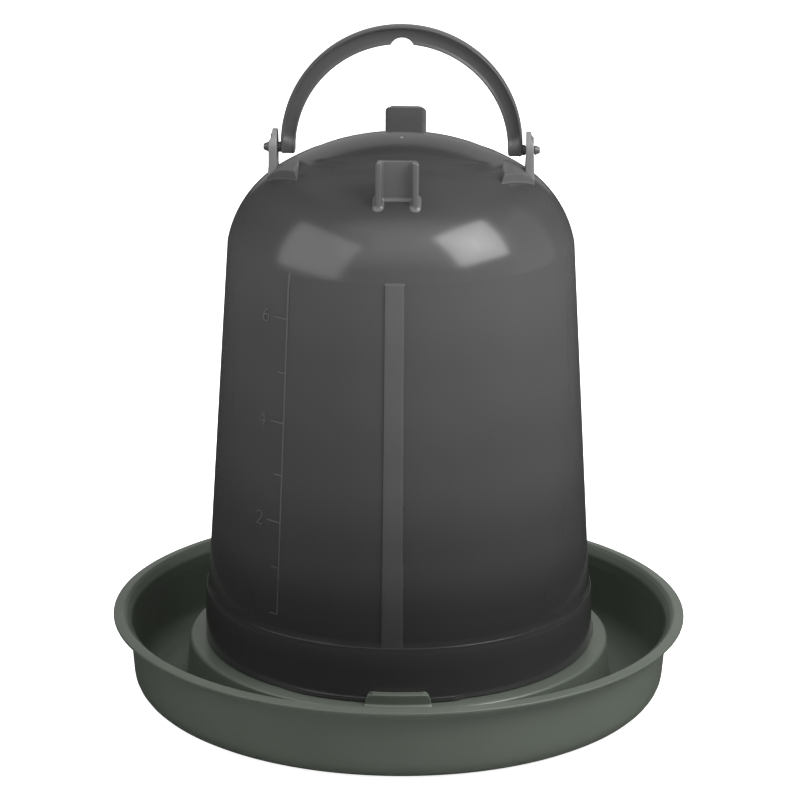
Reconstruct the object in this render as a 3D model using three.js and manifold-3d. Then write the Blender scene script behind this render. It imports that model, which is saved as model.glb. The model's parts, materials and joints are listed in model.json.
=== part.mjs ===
// Gravity poultry drinker: a twist-lock fount with a carrying handle, standing in a drinking tray.
// Millimetres, +Z up. The origin is on the axis, at the plane that the tray rests on; the front is -Y.
// A bearing is an angle about the axis, counted from the front and growing towards +X.
import * as THREE from "three";
import { mergeVertices } from "three/addons/utils/BufferGeometryUtils.js";
import Module from "manifold-3d";

const wasm = await Module();
wasm.setup();

// ---- Driving dimensions ----
const WALL = 2.4; // wall of every moulding
const GAP = 0.3; // space kept between nodes that touch
const EDGE = 0.3; // chamfer on small edges
const MARGIN = 1; // how far a cutting shape reaches past what it cuts
const ROUND_SIDES = 72; // facets round the axis
const CURVE_SEGMENTS = 12; // facets of a rounded corner

// Tray
const TRAY_RADIUS = 170; // outer edge of the rim
const TRAY_HEIGHT = 47; // top of the rim's outer lip
const LIP_HEIGHT = 1.6;
const RIM_CREST_RADIUS = 164.2; // where the rim turns down into the trough
const RIM_CREST_RISE = 0.8; // crest above the outer lip
const WALL_TOP_RADIUS = 160.3; // outer wall just under the flare
const WALL_TOP_HEIGHT = 40;
const WALL_FOOT_RADIUS = 157; // outer wall drawn down to the rest plane
const FLARE_STEP = 1.6; // first slope of the flare: this far out, and twice as far up
const TRAY_CORNER = 13.5; // outer radius between wall and rest ring
const TRAY_CORNER_STEPS = 5;
const TROUGH_FILLET = 4; // between the trough's floor and the plateau
const REST_RING_INNER = 129; // inner edge of the flat ring that the tray stands on
const PLATEAU_HEIGHT = 31.3;
const PLATEAU_RADIUS = 124.5;
const PLATEAU_FOOT_RADIUS = 127;
const PLATEAU_EDGE = 2; // rounding of the plateau's edges
const SEAT_INNER_RADIUS = 109; // the plateau's inner edge, inside the fount
const CENTRE_HEIGHT = 22; // recessed floor inside the fount
const CENTRE_RADIUS = 103;

// Lock tabs on the plateau
const LOCK_COUNT = 3;
const TAB_TOP = 39.3;
const TAB_OUTER_RADIUS = 121;
const TAB_POST = 2.1; // radial thickness of the post
const TAB_HOOK_INNER_RADIUS = 115.8;
const TAB_HOOK_THICKNESS = 4.3;
const TAB_TOP_WIDTH = 34.2;
const TAB_FOOT_WIDTH = 39;
const TAB_CORNER = 2.6;

// Fount
const FOUNT_TURN = -1.9; // degrees that the fount stands turned in the tray when it is locked
const FOOT_HEIGHT = PLATEAU_HEIGHT + GAP; // lower edge of the fount
const BAND_FOOT_RADIUS = 115.2;
const BAND_TOP_RADIUS = 114.9;
const BAND_TOP = 63.6; // step between the thick lower band and the side
const SIDE_FOOT_RADIUS = 113.3; // side of the fount, drawn down to the step
const SIDE_DRAFT = 3.36; // degrees
const SHOULDER_ROUND = 61.6;
const CROWN_ROUND = 137.3;
const APEX = 334.4;
const STRIP_TOP = 273.3; // raised strip up the front
const STRIP_TOP_WIDTH = 10.2;
const STRIP_FOOT_WIDTH = 11.9;
const STRIP_PROUD = 1;
const OUTLET_WIDTH = 14; // water outlet in the lower edge, at the back
const OUTLET_HEIGHT = 7;
const OUTLET_CORNER = 2;
const FLANGE_RADIUS = 117;
const FLANGE_TOP = 34.4;
const FLANGE_START = -38; // bearings of the front bayonet flange, in the fount's own frame
const FLANGE_END = 22.4;

// Lugs and ears on the crown
const LUG_TOP = 336.4;
const LUG_WIDTH = 24.2;
const LUG_INNER_RADIUS = 68.4;
const LUG_OUTER_RADIUS = 76.6;
const LUG_BACK = 2.6; // thickness of the lug's back wall
const LUG_RIB = 3.6; // thickness of each side rib
const LUG_CORNER = 2;
const CROWN_BASE = 290; // below everything that stands on the crown
const EAR_INNER = 71.4; // inner face of an ear, from the axis
const EAR_THICKNESS = 4.6;
const EAR_HALF_WIDTH = 10.7;
const EAR_TIP_THICKNESS = 3; // the ear is thinner above the pin, on its outer side
const EAR_TIP_START = 333.5;
const EAR_TIP_BEVEL = 1.5; // height of the slope between the two thicknesses
const PAD_INNER = 58; // flat-topped pad that carries an ear, from the axis
const PAD_OUTER = 77;
const PAD_INNER_HALF_WIDTH = 33;
const PAD_OUTER_HALF_WIDTH = 12.4;
const PAD_EDGE_HEIGHT = 314.2; // top of the pad at its outer edge
const PAD_SLOPE = 0.375; // fall of the pad's top towards the outside

// Handle
const PIN_HEIGHT = 327.3; // level of the handle's axis
const PIN_RADIUS = 2.4;
const PIN_HOLE_RADIUS = 2.5;
const PIN_HEAD_RADIUS = 3;
const PIN_TIP_RADIUS = 1.65;
const PIN_HEAD_LENGTH = 3;
const BOW_OUTER_RADIUS = 69.5;
const BOW_CENTRE = 329.9; // level of the centre of the outer arch
const BOW_INNER_HALF_WIDTH = 61;
const BOW_INNER_RISE = 60.9; // inner edge of the arch, above the pin axis
const BOW_FOOT = 324.2; // underside of the feet
const WEB_THICKNESS = 3;
const FLANGE_WIDTH = 9;
const FLANGE_THICKNESS = 1.7;
const BEAD_WIDTH = 5;
const BEAD_THICKNESS = 1.2;
const FOOT_TOP = 327; // top of the solid foot that closes the recess of each leg
const NOTCH_RADIUS = 7.3;
const NOTCH_DEPTH = 3.9;
const BODY_OVERLAP = 0.2; // how far the joined bodies of the bow reach into each other
const PIN_SIDES = 24;
const ARCH_STEPS = 36;

// ---- Materials ----
const plastic = (color, roughness) => new THREE.MeshStandardMaterial({ color, roughness, metalness: 0 });
const trayPlastic = () => plastic(0x525a4f, 0.42);
const fountPlastic = () => plastic(0x303030, 0.25);
const handlePlastic = () => plastic(0x4b4b4b, 0.45);

// ---- Solids ----
const radians = THREE.MathUtils.degToRad;

// A closed three.js geometry as a solid that can be cut and joined.
function solid(geometry) {
  const bare = geometry.clone();
  bare.deleteAttribute("normal");
  bare.deleteAttribute("uv");
  const merged = mergeVertices(bare, 1e-4);
  return new wasm.Manifold(
    new wasm.Mesh({
      numProp: 3,
      vertProperties: new Float32Array(merged.attributes.position.array),
      triVerts: new Uint32Array(merged.index.array),
    }),
  );
}

// A finished solid as a named mesh.
function meshOf(name, shape, material) {
  const made = shape.getMesh();
  const geometry = new THREE.BufferGeometry();
  geometry.setAttribute("position", new THREE.BufferAttribute(made.vertProperties, 3));
  geometry.setIndex(new THREE.BufferAttribute(made.triVerts, 1));
  geometry.computeVertexNormals();
  const mesh = new THREE.Mesh(geometry, material);
  mesh.name = name;
  return mesh;
}

// A solid of revolution about +Z. The outline is a list of [radius, height].
function revolved(outline) {
  const points = outline.map(([r, z]) => new THREE.Vector2(r, z));
  return solid(new THREE.LatheGeometry(points, ROUND_SIDES).rotateX(Math.PI / 2));
}

function shapeOf(points) {
  return new THREE.Shape(points.map(([x, y]) => new THREE.Vector2(x, y)));
}

// An outline in plan, extruded from one height to another.
function upright(shape, bottom, top) {
  const options = { depth: top - bottom, bevelEnabled: false };
  return solid(new THREE.ExtrudeGeometry(shape, options).translate(0, 0, bottom));
}

// An outline drawn as width and height, extruded along Y between two places.
function facingFront(shape, near, far) {
  const options = { depth: far - near, bevelEnabled: false, curveSegments: CURVE_SEGMENTS };
  const geometry = new THREE.ExtrudeGeometry(shape, options);
  return solid(geometry.rotateX(Math.PI / 2).translate(0, far, 0));
}

// An outline drawn in Y and Z, extruded along X between two places.
function facingSide(shape, near, far) {
  const options = { depth: far - near, bevelEnabled: false, curveSegments: CURVE_SEGMENTS };
  const geometry = new THREE.ExtrudeGeometry(shape, options);
  return solid(geometry.rotateY(Math.PI / 2).rotateX(Math.PI / 2).translate(near, 0, 0));
}

function arc([x, y], radius, from, to, steps) {
  const points = [];
  for (let i = 0; i <= steps; i++) {
    const angle = from + ((to - from) * i) / steps;
    points.push([x + radius * Math.cos(angle), y + radius * Math.sin(angle)]);
  }
  return points;
}

// A wedge about the axis between two bearings.
function sector(start, end, bottom, top) {
  const reach = 2 * TRAY_RADIUS;
  const points = [[0, 0]];
  for (const share of [0, 0.5, 1]) {
    const bearing = radians(start + (end - start) * share);
    points.push([reach * Math.sin(bearing), -reach * Math.cos(bearing)]);
  }
  return upright(shapeOf(points), bottom, top);
}

// A rectangle with rounded upper corners that may narrow towards the top, as width and height.
function tabOutline(footWidth, topWidth, bottom, top, corner) {
  const shape = new THREE.Shape();
  const lean = (footWidth - topWidth) / 2 / (top - bottom);
  shape.moveTo(-footWidth / 2, bottom);
  shape.lineTo(footWidth / 2, bottom);
  shape.lineTo(topWidth / 2 + lean * corner, top - corner);
  shape.quadraticCurveTo(topWidth / 2, top, topWidth / 2 - corner, top);
  shape.lineTo(-topWidth / 2 + corner, top);
  shape.quadraticCurveTo(-topWidth / 2, top, -topWidth / 2 - lean * corner, top - corner);
  shape.closePath();
  return shape;
}

// ---- Tray ----
// Outline of the pan: its underside outwards, up the outer wall, over the rim and back to the centre.
function trayOutline() {
  const underPlateau = PLATEAU_HEIGHT - WALL;
  const lipFoot = TRAY_HEIGHT - LIP_HEIGHT;
  const cornerCentre = [WALL_FOOT_RADIUS - TRAY_CORNER + EDGE, TRAY_CORNER];
  const flareTop = WALL_TOP_HEIGHT + 2 * FLARE_STEP;
  return [
    [0, CENTRE_HEIGHT - WALL],
    [CENTRE_RADIUS + WALL / 2, CENTRE_HEIGHT - WALL],
    [SEAT_INNER_RADIUS + WALL / 2, underPlateau - PLATEAU_EDGE],
    [SEAT_INNER_RADIUS + WALL, underPlateau],
    [PLATEAU_RADIUS - WALL, underPlateau],
    [PLATEAU_FOOT_RADIUS - WALL, 2 * WALL],
    [REST_RING_INNER - WALL / 2, WALL / 2],
    [REST_RING_INNER, 0],
    ...arc(cornerCentre, TRAY_CORNER, -Math.PI / 2, 0, TRAY_CORNER_STEPS),
    [WALL_TOP_RADIUS, WALL_TOP_HEIGHT],
    [WALL_TOP_RADIUS + FLARE_STEP, flareTop],
    [RIM_CREST_RADIUS + EDGE, lipFoot - EDGE],
    [TRAY_RADIUS - EDGE, lipFoot],
    [TRAY_RADIUS, TRAY_HEIGHT - LIP_HEIGHT / 2],
    [TRAY_RADIUS - EDGE, TRAY_HEIGHT],
    [RIM_CREST_RADIUS, TRAY_HEIGHT + RIM_CREST_RISE],
    [RIM_CREST_RADIUS - WALL, TRAY_HEIGHT - 2 * EDGE],
    [WALL_TOP_RADIUS - WALL + FLARE_STEP, flareTop],
    [WALL_TOP_RADIUS - WALL, WALL_TOP_HEIGHT],
    ...arc(cornerCentre, TRAY_CORNER - WALL, 0, -Math.PI / 2, TRAY_CORNER_STEPS),
    [PLATEAU_FOOT_RADIUS + TROUGH_FILLET, WALL],
    [PLATEAU_FOOT_RADIUS, WALL + TROUGH_FILLET],
    [PLATEAU_RADIUS, PLATEAU_HEIGHT - PLATEAU_EDGE],
    [PLATEAU_RADIUS - PLATEAU_EDGE, PLATEAU_HEIGHT],
    [SEAT_INNER_RADIUS, PLATEAU_HEIGHT],
    [SEAT_INNER_RADIUS - PLATEAU_EDGE, PLATEAU_HEIGHT - PLATEAU_EDGE],
    [CENTRE_RADIUS, CENTRE_HEIGHT],
    [0, CENTRE_HEIGHT],
  ];
}

// A hook that stands on the plateau and reaches in over the fount's bayonet flange.
function lockTab() {
  const foot = PLATEAU_HEIGHT + GAP;
  const hookUnderside = TAB_TOP - TAB_HOOK_THICKNESS;
  const postInner = TAB_OUTER_RADIUS - TAB_POST;
  const ring = revolved([
    [postInner, foot],
    [TAB_OUTER_RADIUS, foot],
    [TAB_OUTER_RADIUS, TAB_TOP],
    [TAB_HOOK_INNER_RADIUS, TAB_TOP],
    [TAB_HOOK_INNER_RADIUS, hookUnderside],
    [postInner, hookUnderside],
    [postInner, foot],
  ]);
  const front = tabOutline(TAB_FOOT_WIDTH, TAB_TOP_WIDTH, foot - MARGIN, TAB_TOP, TAB_CORNER);
  return ring.intersect(facingFront(front, -TRAY_RADIUS, 0));
}

function tray() {
  const group = new THREE.Group();
  group.add(meshOf("tray_pan", revolved(trayOutline()), trayPlastic()));
  const places = ["front", "rear_right", "rear_left"];
  const tab = lockTab();
  places.forEach((place, i) => {
    const mesh = meshOf("lock_tab_" + place, tab, trayPlastic());
    mesh.rotation.z = (2 * Math.PI * i) / LOCK_COUNT;
    group.add(mesh);
  });
  return group;
}

// ---- Fount ----
// The side, shoulder and crown, from the step up to the apex, moved outwards by an offset.
function domeCurve(offset) {
  const draft = radians(SIDE_DRAFT);
  const out = [Math.cos(draft), Math.sin(draft)];
  const up = [-out[1], out[0]];
  const crownCentre = [0, APEX - CROWN_ROUND];
  const start = [SIDE_FOOT_RADIUS - SHOULDER_ROUND * out[0], BAND_TOP - SHOULDER_ROUND * out[1]];
  const toStart = [start[0] - crownCentre[0], start[1] - crownCentre[1]];
  const along = toStart[0] * up[0] + toStart[1] * up[1];
  const reach = toStart[0] ** 2 + toStart[1] ** 2 - (CROWN_ROUND - SHOULDER_ROUND) ** 2;
  const climb = -along + Math.sqrt(along ** 2 - reach);
  const shoulderCentre = [start[0] + climb * up[0], start[1] + climb * up[1]];
  const meeting = Math.atan2(shoulderCentre[1] - crownCentre[1], shoulderCentre[0] - crownCentre[0]);
  const shoulder = arc(shoulderCentre, SHOULDER_ROUND + offset, draft, meeting, 9);
  const crown = arc(crownCentre, CROWN_ROUND + offset, meeting, Math.PI / 2, 6);
  crown[crown.length - 1][0] = 0;
  return [...shoulder, ...crown.slice(1)];
}

// The radius of the straight side at a height, moved outwards by an offset.
function sideRadius(height, offset) {
  const draft = radians(SIDE_DRAFT);
  return SIDE_FOOT_RADIUS - (height - BAND_TOP) * Math.tan(draft) + offset / Math.cos(draft);
}

// Everything inside the fount's outer surface, above the step, moved outwards by an offset.
function domeBlock(offset) {
  return revolved([[0, BAND_TOP], [sideRadius(BAND_TOP, offset), BAND_TOP], ...domeCurve(offset)]);
}

// The pad under each ear, with its top moved up and its sides moved out by an offset.
function earPads(offset) {
  const innerHeight = PAD_EDGE_HEIGHT + PAD_SLOPE * (PAD_OUTER - PAD_INNER);
  const plan = shapeOf([
    [PAD_INNER, -PAD_INNER_HALF_WIDTH - offset],
    [PAD_OUTER + offset, -PAD_OUTER_HALF_WIDTH - offset],
    [PAD_OUTER + offset, PAD_OUTER_HALF_WIDTH + offset],
    [PAD_INNER, PAD_INNER_HALF_WIDTH + offset],
  ]);
  const edge = PAD_EDGE_HEIGHT + offset;
  const profile = shapeOf([
    [PAD_INNER - MARGIN, CROWN_BASE],
    [PAD_OUTER + offset + MARGIN, CROWN_BASE],
    [PAD_OUTER + offset + MARGIN, edge - PAD_SLOPE * (offset + MARGIN)],
    [PAD_INNER - MARGIN, innerHeight + offset + PAD_SLOPE * MARGIN],
  ]);
  const wide = 2 * PAD_INNER_HALF_WIDTH;
  const right = upright(plan, CROWN_BASE, APEX).intersect(facingFront(profile, -wide, wide));
  return right.add(right.rotate([0, 0, 180]));
}

function fountShell() {
  const inner = domeCurve(-WALL).reverse();
  const outline = [
    ...inner,
    [sideRadius(BAND_TOP, -WALL), BAND_TOP],
    [BAND_FOOT_RADIUS - WALL, FOOT_HEIGHT],
    [BAND_FOOT_RADIUS, FOOT_HEIGHT],
    [BAND_TOP_RADIUS, BAND_TOP - EDGE],
    [BAND_TOP_RADIUS - EDGE, BAND_TOP],
    [sideRadius(BAND_TOP, 0), BAND_TOP],
    ...domeCurve(0),
  ];
  const pads = earPads(0).subtract(domeBlock(-WALL));
  const strip = tabOutline(STRIP_FOOT_WIDTH, STRIP_TOP_WIDTH, BAND_TOP - MARGIN, STRIP_TOP, EDGE);
  const stripLayer = domeBlock(STRIP_PROUD).subtract(domeBlock(-WALL / 2));
  const frontStrip = facingFront(strip, -TRAY_RADIUS, 0).intersect(stripLayer);
  const outletTop = FOOT_HEIGHT + OUTLET_HEIGHT;
  const outletShape = tabOutline(OUTLET_WIDTH, OUTLET_WIDTH, FOOT_HEIGHT - MARGIN, outletTop, OUTLET_CORNER);
  const outlet = facingFront(outletShape, 0, TRAY_RADIUS);
  return revolved(outline).add(pads).add(frontStrip).subtract(outlet);
}

// One bayonet flange at the foot of the fount.
function bayonetFlange() {
  const inner = BAND_FOOT_RADIUS + GAP;
  const ring = revolved([
    [inner, FOOT_HEIGHT],
    [FLANGE_RADIUS, FOOT_HEIGHT],
    [FLANGE_RADIUS, FLANGE_TOP - EDGE],
    [FLANGE_RADIUS - EDGE, FLANGE_TOP],
    [inner, FLANGE_TOP],
    [inner, FOOT_HEIGHT],
  ]);
  return ring.intersect(sector(FLANGE_START, FLANGE_END, 0, APEX));
}

// A U-shaped lug on the crown, open towards the front.
function footLug() {
  const half = LUG_WIDTH / 2;
  const inside = half - LUG_RIB;
  const plan = shapeOf([
    [-half, -LUG_INNER_RADIUS],
    [-half, -LUG_OUTER_RADIUS],
    [-inside, -LUG_OUTER_RADIUS],
    [-inside, -LUG_INNER_RADIUS - LUG_BACK],
    [inside, -LUG_INNER_RADIUS - LUG_BACK],
    [inside, -LUG_OUTER_RADIUS],
    [half, -LUG_OUTER_RADIUS],
    [half, -LUG_INNER_RADIUS],
  ]);
  const front = tabOutline(LUG_WIDTH + MARGIN, LUG_WIDTH, CROWN_BASE, LUG_TOP, LUG_CORNER);
  const block = upright(plan, CROWN_BASE, LUG_TOP).intersect(facingFront(front, -TRAY_RADIUS, 0));
  return block.subtract(domeBlock(GAP));
}

// The ear on the right, with the hole for the handle's pin.
function handleEar() {
  const shape = new THREE.Shape();
  shape.moveTo(EAR_HALF_WIDTH, CROWN_BASE);
  shape.lineTo(EAR_HALF_WIDTH, PIN_HEIGHT);
  shape.absarc(0, PIN_HEIGHT, EAR_HALF_WIDTH, 0, Math.PI, false);
  shape.lineTo(-EAR_HALF_WIDTH, CROWN_BASE);
  shape.closePath();
  const hole = new THREE.Path();
  hole.absarc(0, PIN_HEIGHT, PIN_HOLE_RADIUS, 0, 2 * Math.PI, true);
  shape.holes.push(hole);
  const plate = facingSide(shape, EAR_INNER, EAR_INNER + EAR_THICKNESS);
  const tipOuter = EAR_INNER + EAR_TIP_THICKNESS;
  const outside = EAR_INNER + EAR_THICKNESS + MARGIN;
  const above = PIN_HEIGHT + EAR_HALF_WIDTH + MARGIN;
  const bevel = shapeOf([
    [outside, EAR_TIP_START - MARGIN],
    [outside, above],
    [tipOuter, above],
    [tipOuter, EAR_TIP_START + EAR_TIP_BEVEL],
  ]);
  const cut = facingFront(bevel, -2 * EAR_HALF_WIDTH, 2 * EAR_HALF_WIDTH);
  return plate.subtract(cut).subtract(domeBlock(GAP)).subtract(earPads(GAP));
}

function fount() {
  const group = new THREE.Group();
  group.rotation.z = radians(FOUNT_TURN);
  group.add(meshOf("fount_shell", fountShell(), fountPlastic()));
  const flange = bayonetFlange();
  ["front", "rear_right", "rear_left"].forEach((place, i) => {
    const mesh = meshOf("bayonet_flange_" + place, flange, fountPlastic());
    mesh.rotation.z = (2 * Math.PI * i) / LOCK_COUNT;
    group.add(mesh);
  });
  const lug = footLug();
  const ear = handleEar();
  const front = meshOf("foot_lug_front", lug, fountPlastic());
  const rear = meshOf("foot_lug_rear", lug, fountPlastic());
  const right = meshOf("handle_ear_right", ear, fountPlastic());
  const left = meshOf("handle_ear_left", ear, fountPlastic());
  rear.rotation.z = Math.PI;
  left.rotation.z = Math.PI;
  group.add(front, rear, right, left);
  return group;
}

// ---- Handle ----
// The outer edge of the arch, moved inwards by an inset, from the right foot to the left one.
function bowOuterEdge(inset) {
  const radius = BOW_OUTER_RADIUS - inset;
  return [
    [radius, BOW_FOOT],
    ...arc([0, BOW_CENTRE], radius, 0, Math.PI, ARCH_STEPS),
    [-radius, BOW_FOOT],
  ];
}

// The inner edge of the arch, moved outwards by an offset, from the left foot to the right one.
function bowInnerEdge(offset) {
  const points = [];
  for (let i = 0; i <= ARCH_STEPS; i++) {
    const angle = Math.PI - (Math.PI * i) / ARCH_STEPS;
    const x = (BOW_INNER_HALF_WIDTH + offset) * Math.cos(angle);
    points.push([x, PIN_HEIGHT + (BOW_INNER_RISE + offset) * Math.sin(angle)]);
  }
  return [[-BOW_INNER_HALF_WIDTH - offset, BOW_FOOT], ...points, [BOW_INNER_HALF_WIDTH + offset, BOW_FOOT]];
}

function bowBand(outerInset, innerOffset, width) {
  const shape = shapeOf([...bowOuterEdge(outerInset), ...bowInnerEdge(innerOffset)]);
  return facingFront(shape, -width / 2, width / 2);
}

// The arch: a web with a wide flange outside, a bead inside, solid feet and a hanging notch.
function handleBow() {
  const web = bowBand(BODY_OVERLAP, BODY_OVERLAP, WEB_THICKNESS);
  const depth = BOW_OUTER_RADIUS - BOW_INNER_HALF_WIDTH;
  const crownDepth = BOW_CENTRE + BOW_OUTER_RADIUS - PIN_HEIGHT - BOW_INNER_RISE;
  const flangeInner = shapeOf([...bowOuterEdge(0), ...bowOuterEdge(FLANGE_THICKNESS).reverse()]);
  const flange = facingFront(flangeInner, -FLANGE_WIDTH / 2, FLANGE_WIDTH / 2);
  const beadShape = shapeOf([...bowInnerEdge(BEAD_THICKNESS).reverse(), ...bowInnerEdge(0)]);
  const bead = facingFront(beadShape, -BEAD_WIDTH / 2, BEAD_WIDTH / 2);
  let bow = web.add(flange).add(bead);
  for (const side of [-1, 1]) {
    const middle = side * (BOW_OUTER_RADIUS - depth / 2);
    const foot = shapeOf([
      [middle - depth / 2, BOW_FOOT],
      [middle + depth / 2, BOW_FOOT],
      [middle + depth / 2, FOOT_TOP],
      [middle - depth / 2, FOOT_TOP],
    ]);
    bow = bow.add(facingFront(foot, -FLANGE_WIDTH / 2, FLANGE_WIDTH / 2));
  }
  const notchCentre = PIN_HEIGHT + BOW_INNER_RISE + NOTCH_DEPTH - NOTCH_RADIUS;
  const notch = shapeOf(arc([0, notchCentre], NOTCH_RADIUS, 0, 2 * Math.PI, PIN_SIDES).slice(1));
  if (NOTCH_DEPTH > crownDepth - FLANGE_THICKNESS) throw new Error("the notch cuts the flange");
  return bow.subtract(facingFront(notch, -FLANGE_WIDTH, FLANGE_WIDTH));
}

// The snap pin on the right: a shaft through the ear and a conical head outside it.
function handlePin() {
  const root = BOW_OUTER_RADIUS + GAP;
  const head = EAR_INNER + EAR_THICKNESS + 2 * GAP;
  const outline = [
    [0, root],
    [PIN_RADIUS, root],
    [PIN_RADIUS, head],
    [PIN_HEAD_RADIUS, head],
    [PIN_TIP_RADIUS, head + PIN_HEAD_LENGTH],
    [0, head + PIN_HEAD_LENGTH],
  ];
  const points = outline.map(([r, x]) => new THREE.Vector2(r, x));
  const lathe = new THREE.LatheGeometry(points, PIN_SIDES);
  return solid(lathe.rotateZ(-Math.PI / 2).translate(0, 0, PIN_HEIGHT));
}

function handle() {
  const group = new THREE.Group();
  group.rotation.z = radians(FOUNT_TURN);
  const pin = handlePin();
  const left = meshOf("handle_pin_left", pin, handlePlastic());
  left.rotation.z = Math.PI;
  group.add(meshOf("handle_bow", handleBow(), handlePlastic()));
  group.add(meshOf("handle_pin_right", pin, handlePlastic()));
  group.add(left);
  return group;
}

const drinker = new THREE.Group();
drinker.name = "poultry_waterer_fount";
drinker.add(tray(), fount(), handle());

export default drinker;
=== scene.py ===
import json
import math

import bmesh
import bpy
import numpy as np
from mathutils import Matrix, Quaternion, Vector


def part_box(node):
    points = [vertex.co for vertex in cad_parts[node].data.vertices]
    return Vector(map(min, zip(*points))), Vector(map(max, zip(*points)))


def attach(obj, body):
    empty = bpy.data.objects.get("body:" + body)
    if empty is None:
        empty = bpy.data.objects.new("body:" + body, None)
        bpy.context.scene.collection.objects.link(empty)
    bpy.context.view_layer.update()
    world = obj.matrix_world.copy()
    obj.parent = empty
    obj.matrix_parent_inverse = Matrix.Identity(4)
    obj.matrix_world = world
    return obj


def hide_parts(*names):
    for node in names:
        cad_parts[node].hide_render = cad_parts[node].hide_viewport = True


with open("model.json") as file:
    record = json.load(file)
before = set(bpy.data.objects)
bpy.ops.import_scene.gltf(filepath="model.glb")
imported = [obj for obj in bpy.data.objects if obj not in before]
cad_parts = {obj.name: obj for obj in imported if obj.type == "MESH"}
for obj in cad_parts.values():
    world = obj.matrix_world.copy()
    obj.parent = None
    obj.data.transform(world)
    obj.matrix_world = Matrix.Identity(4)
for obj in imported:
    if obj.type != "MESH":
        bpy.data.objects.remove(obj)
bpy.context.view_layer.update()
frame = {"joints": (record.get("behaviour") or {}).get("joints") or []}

# ---- Sizes, in millimetres; MM turns them into the scene's metres ----
MM = 0.001


def span(node):
    """Lowest and highest corner of a CAD node in millimetres."""
    return [[value / MM for value in corner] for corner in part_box(node)]


def joint(name):
    return next(j for j in frame["joints"] if j["name"] == name)


TRAY_HIGH = span("tray_pan")[1]
SHELL_LOW, SHELL_HIGH = span("fount_shell")
TAB_LOW, TAB_HIGH = span("lock_tab_front")
FLANGE_TOP = span("bayonet_flange_front")[1][2]
BOW_LOW, BOW_HIGH = span("handle_bow")

WALL = 2.4
FOUNT_TURN = math.atan2(joint("handle_swing")["axis"][1], joint("handle_swing")["axis"][0])
SMOOTH_ANGLE = math.radians(38)
WELD_DISTANCE = 0.002

# Tray
TRAY_RADIUS = TRAY_HIGH[0]
RIM_CREST = TRAY_HIGH[2]
RIM_CREST_RADIUS = 164.2
LIP_TOP = RIM_CREST - 0.8
LIP_HEIGHT = 1.6
WALL_TOP_RADIUS = 160.3
WALL_TOP = 40.0
WALL_FOOT_RADIUS = 157.0
TRAY_CORNER = 13.5
REST_RING_INNER = 129.0
PLATEAU = TAB_LOW[2] - 0.3
PLATEAU_RADIUS = 124.5
PLATEAU_FOOT_RADIUS = 127.0
SEAT_INNER_RADIUS = 109.0
CENTRE_HEIGHT = 22.0
CENTRE_RADIUS = 103.0

# Lock tabs
TAB_TOP = TAB_HIGH[2] - 1.0
TAB_OUTER_RADIUS = -TAB_LOW[1]
TAB_POST = 2.1
TAB_HOOK_INNER_RADIUS = 115.8
TAB_HOOK_THICKNESS = 4.3
TAB_TOP_WIDTH = 35.6
TAB_FOOT_WIDTH = 39.0
TAB_CORNER = 2.6
TAB_EDGE = 0.6
TAB_BEARINGS = {"front": 0, "rear_right": 120, "rear_left": 240}

# Fount
FOOT = SHELL_LOW[2]
APEX = SHELL_HIGH[2]
BAND_FOOT_RADIUS = 115.2
BAND_TOP_RADIUS = 114.9
BAND_TOP = 63.6
SIDE_FOOT_RADIUS = 113.3
SIDE_DRAFT = math.radians(3.36)
SHOULDER_ROUND = 61.6
CROWN_ROUND = 137.3
STRIP_TOP = 273.3
STRIP_HALF_ANGLE = 2.95
STRIP_PROUD = 0.9
STRIP_EDGE_ANGLE = 0.22
SHELL_STEPS = 288
OUTLET_WIDTH = 14.0
OUTLET_HEIGHT = 7.0
FLANGE_RADIUS = 117.0
FLANGE_START = -38.0
FLANGE_END = 22.4
FLANGE_STEPS = 60

# Crown
CREASE_HALF_LENGTH = 59.0
CREASE_HALF_WIDTH = 35.0
CREASE_STEP = 0.4
CREASE_FADE = (54.0, 44.0)
GATE_PLACE = -3.6
LUG_TOP = span("foot_lug_front")[1][2]
LUG_WIDTH = 24.2
LUG_INNER_RADIUS = 68.4
LUG_OUTER_RADIUS = 76.6
LUG_BACK = 2.6
LUG_RIB = 3.6
LUG_CORNER = 2.4
LUG_FILLET = 1.8
LUG_EDGE = 0.55
RIB_FALL = 0.5
REAR_LUG_BACK = 4.4
EAR_INNER = 71.4
EAR_THICKNESS = 4.6
EAR_HALF_WIDTH = 10.7
EAR_TIP_THICKNESS = 3.0
EAR_TIP_START = 333.0
EAR_FOOT = 307.0
EAR_WAIST = 315.0
EAR_FOOT_SPREAD = 1.5
EAR_EDGE = 0.6
EAR_FLARE = 0.6
PAD_INNER = 59.0
PAD_OUTER = 76.8
PAD_INNER_HALF_WIDTH = 35.0
PAD_OUTER_HALF_WIDTH = 12.0
PAD_REAR_START = -8.0
PAD_REAR_END = 14.0
PAD_EDGE = 0.7
PAD_FILLET = 1.4
PAD_SUNK = 0.25
PAD_RIDGE = [(54.0, 323.3), (59.4, 321.0), (63.9, 320.2), (69.3, 318.5), (73.5, 315.3), (77.0, 311.6)]

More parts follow.
